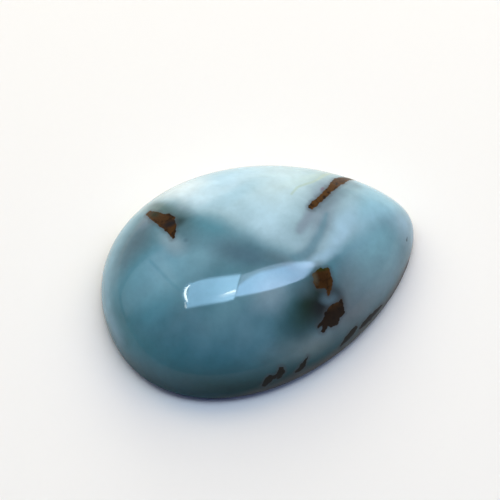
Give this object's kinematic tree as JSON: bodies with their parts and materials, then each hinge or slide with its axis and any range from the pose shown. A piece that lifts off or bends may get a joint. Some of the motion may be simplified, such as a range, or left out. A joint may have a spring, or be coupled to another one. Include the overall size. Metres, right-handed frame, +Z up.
{
  "type": "pear cabochon",
  "caption": "Polished pear-shaped larimar cabochon with a steep-sided dome, rounded bevel and flat back, for setting in a bezel or showing loose.",
  "frame": {"origin": "on the flat back, under the middle of the stone's outline", "axes": "+X from the blunt end to the rounded tip, +Y across the stone, +Z up out of the dome"},
  "size_m": [0.028, 0.0208, 0.0076],
  "materials": {
    "larimar": "polished, clouded blue and white with brown matrix"
  },
  "bodies": {
    "root": {"larimar_cabochon": "larimar"}
  },
  "joints": []
}
